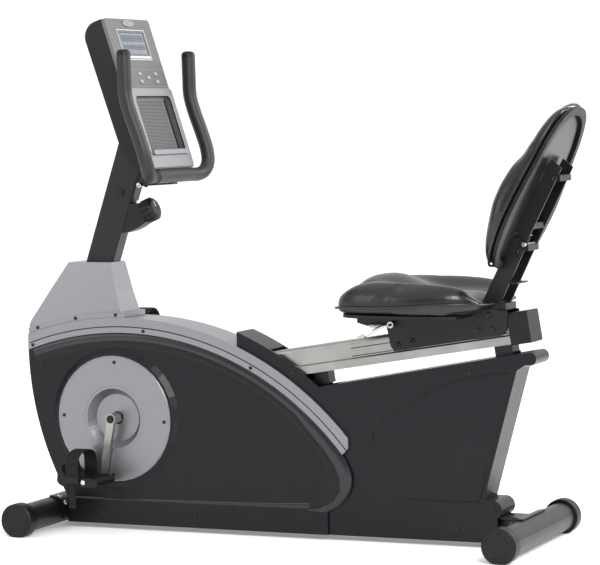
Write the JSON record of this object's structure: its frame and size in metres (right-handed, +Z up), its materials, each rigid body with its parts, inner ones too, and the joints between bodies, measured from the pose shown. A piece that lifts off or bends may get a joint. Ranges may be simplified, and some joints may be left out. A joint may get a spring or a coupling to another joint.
{
  "type": "recumbent exercise bike",
  "caption": "Recumbent exercise bike with a sliding padded seat on an inclined rail, enclosed belt drive, strap pedals and a mast-mounted console.",
  "frame": {"origin": "on the floor, midway along the length and across the width of the bike", "axes": "+X towards the rear of the bike (the rider faces -X), +Y to the rider's right, +Z up"},
  "size_m": [1.6565, 0.552, 1.454],
  "materials": {
    "black_steel": "satin black powder coat",
    "grey_steel": "satin dark grey powder coat",
    "charcoal_plastic": "fine-grained charcoal moulding",
    "silver_paint": "silver-painted moulding",
    "black_plastic": "black moulding",
    "rubber": "black rubber",
    "foam": "dark foam sleeve",
    "vinyl": "dark grey grained vinyl over foam",
    "chrome": "bright plated steel",
    "iron": "machined iron",
    "aluminium": "natural anodised extrusion",
    "key_plastic": "pale keys",
    "screen": "grey liquid crystal display under a clear sheet"
  },
  "bodies": {
    "frame": {"base_frame": "black_steel", "mast": "black_steel", "handlebar": "black_steel", "handlebar_bracket": "black_steel", "front_stabiliser": "grey_steel", "rear_stabiliser": "grey_steel", "left_front_panel": "charcoal_plastic", "right_front_panel": "charcoal_plastic", "left_rear_shell": "charcoal_plastic", "right_rear_shell": "charcoal_plastic", "left_neck_cowl": "silver_paint", "right_neck_cowl": "silver_paint", "console_front": "charcoal_plastic", "arch_cowl": "silver_paint", "left_crank_disc": "silver_paint", "right_crank_disc": "silver_paint", "front_left_end_cap": "black_plastic", "front_right_end_cap": "black_plastic", "rear_left_end_cap": "black_plastic", "rear_right_end_cap": "black_plastic", "knob_housing": "black_plastic", "tension_cable": "black_plastic", "console_back": "black_plastic", "rail_end_cap": "black_plastic", "drive_belt": "rubber", "left_grip": "foam", "right_grip": "foam", "flywheel_axle": "chrome", "flywheel_bearings": "iron", "crank_bearings": "iron", "seat_rail": "aluminium", "console_screen": "screen"},
    "crank": {"crank_spindle": "chrome", "right_crank_arm": "aluminium", "left_crank_arm": "aluminium", "right_pedal_axle": "chrome", "left_pedal_axle": "chrome", "drive_pulley": "black_plastic"},
    "left_pedal_body": {"left_pedal": "black_plastic", "left_pedal_strap": "rubber"},
    "right_pedal_body": {"right_pedal": "black_plastic", "right_pedal_strap": "rubber"},
    "flywheel_body": {"flywheel": "iron"},
    "brake": {"brake_bracket": "grey_steel"},
    "knob": {"tension_knob": "black_plastic"},
    "seat": {"seat_carriage": "black_steel", "left_glide_strip": "black_plastic", "right_glide_strip": "black_plastic", "seat_posts": "black_steel", "back_bolt": "chrome", "seat_pad": "vinyl", "back_bracket": "black_steel", "back_shell": "black_plastic", "back_pad": "vinyl"},
    "lever": {"adjust_lever": "chrome"},
    "key_mode_body": {"key_mode": "key_plastic"},
    "key_set_body": {"key_set": "key_plastic"},
    "key_start_body": {"key_start": "key_plastic"},
    "key_down_body": {"key_down": "key_plastic"},
    "key_up_body": {"key_up": "key_plastic"}
  },
  "joints": [
    {"name": "flywheel_spin", "type": "hinge", "parent": "frame", "child": "flywheel_body", "pos_m": [-0.24, 0, 0.29], "axis": [0, 1, 0], "continuous": true},
    {"name": "crank_spin", "type": "hinge", "parent": "frame", "child": "crank", "pos_m": [-0.54, 0, 0.3205], "axis": [0, 1, 0], "continuous": true},
    {"name": "right_pedal_spin", "type": "hinge", "parent": "crank", "child": "right_pedal_body", "pos_m": [-0.50756, 0, 0.48738], "axis": [0, 1, 0], "continuous": true},
    {"name": "left_pedal_spin", "type": "hinge", "parent": "crank", "child": "left_pedal_body", "pos_m": [-0.57244, 0, 0.15362], "axis": [0, 1, 0], "continuous": true},
    {"name": "seat_slide", "type": "slide", "parent": "frame", "child": "seat", "axis": [0.9881, 0, 0.1539], "range_m": [-0.3, 0]},
    {"name": "lever_pull", "type": "hinge", "parent": "seat", "child": "lever", "pos_m": [0.312, 0, 0.6], "axis": [0, 1, 0], "range_deg": [-14, 0], "stiffness_Nm_per_rad": 0.6, "springref_deg": 17.19},
    {"name": "brake_swing", "type": "hinge", "parent": "frame", "child": "brake", "pos_m": [-0.09, 0, 0.222], "axis": [0, 1, 0], "range_deg": [0, 10]},
    {"name": "knob_turn", "type": "hinge", "parent": "frame", "child": "knob", "pos_m": [-0.462, 0, 0.9045], "axis": [0.9219, 0, 0.3875], "range_deg": [0, 300]},
    {"name": "key_mode_press", "type": "slide", "parent": "frame", "child": "key_mode_body", "axis": [-0.953, 0, -0.303], "range_m": [0, 0.001], "stiffness_N_per_m": 600, "springref_m": -0.0005},
    {"name": "key_set_press", "type": "slide", "parent": "frame", "child": "key_set_body", "axis": [-0.953, 0, -0.303], "range_m": [0, 0.001], "stiffness_N_per_m": 600, "springref_m": -0.0005},
    {"name": "key_start_press", "type": "slide", "parent": "frame", "child": "key_start_body", "axis": [-0.953, 0, -0.303], "range_m": [0, 0.001], "stiffness_N_per_m": 600, "springref_m": -0.0005},
    {"name": "key_down_press", "type": "slide", "parent": "frame", "child": "key_down_body", "axis": [-0.953, 0, -0.303], "range_m": [0, 0.001], "stiffness_N_per_m": 600, "springref_m": -0.0005},
    {"name": "key_up_press", "type": "slide", "parent": "frame", "child": "key_up_body", "axis": [-0.953, 0, -0.303], "range_m": [0, 0.001], "stiffness_N_per_m": 600, "springref_m": -0.0005}
  ],
  "couplings": [
    {"joint": "crank_spin", "follows": "flywheel_spin", "ratio": 0.17863},
    {"joint": "knob_turn", "follows": "brake_swing", "ratio": 30}
  ]
}
